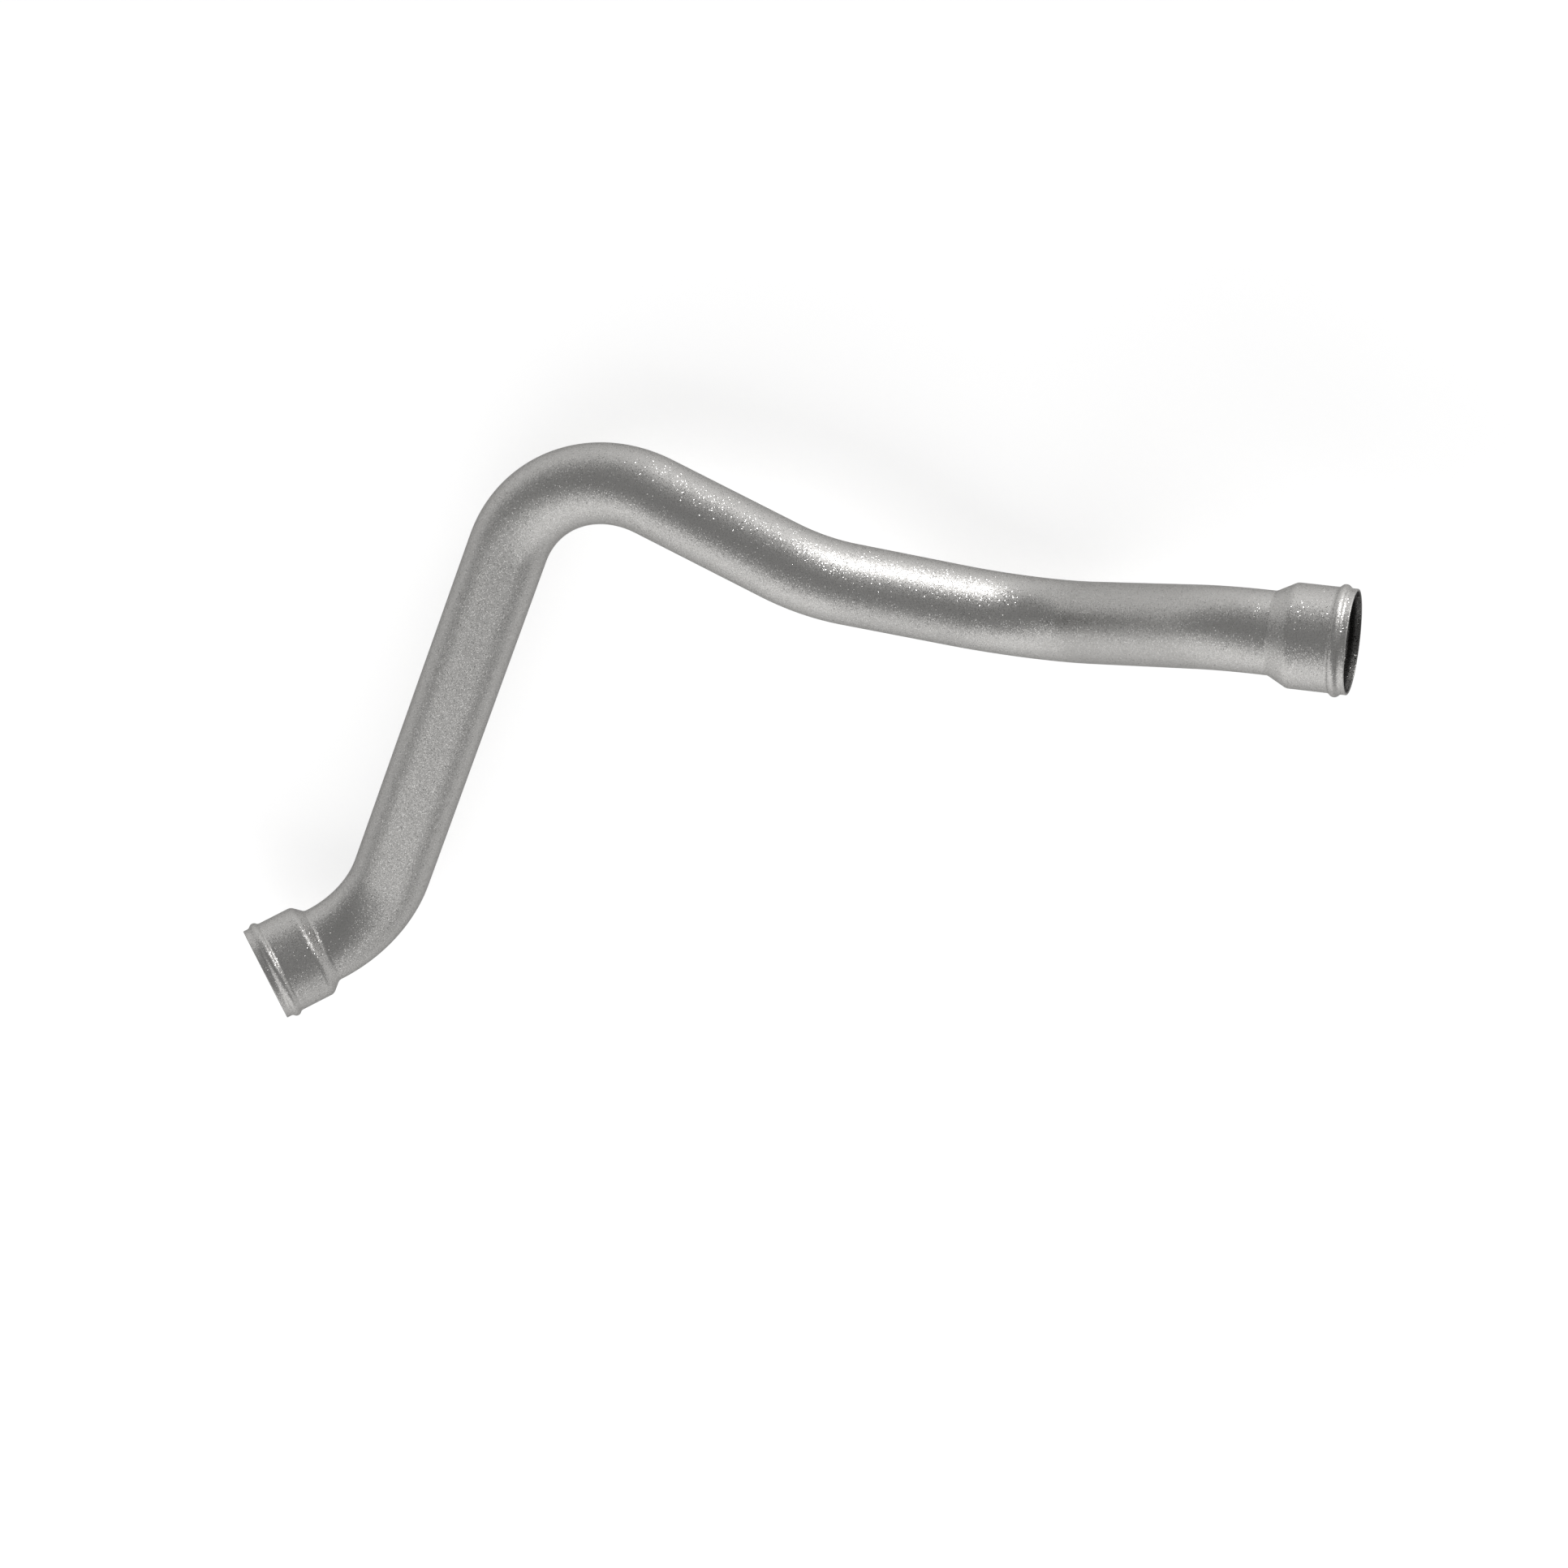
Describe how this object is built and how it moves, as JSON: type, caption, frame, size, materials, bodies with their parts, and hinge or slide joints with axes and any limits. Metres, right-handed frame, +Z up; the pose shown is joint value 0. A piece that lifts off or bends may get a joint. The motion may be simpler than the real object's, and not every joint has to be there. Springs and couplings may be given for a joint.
{
  "type": "charge air cooler tube",
  "caption": "Bent metal pipe for charge air: thin-walled round tube with smooth bends in several planes and, at each end, a cone, an expanded hose seat and a rolled bead.",
  "frame": {"origin": "middle of the bounding box's base, on the surface that the tube lies on", "axes": "+X from the left mouth towards the right one as seen from above, +Y towards the corner at the second bend, +Z up"},
  "size_m": [0.7867, 0.2883, 0.1609],
  "materials": {
    "tube_metal": "satin grey with a fine sparkling grain, as on aluminised steel"
  },
  "bodies": {
    "root": {"charge_air_tube": "tube_metal"}
  },
  "joints": []
}
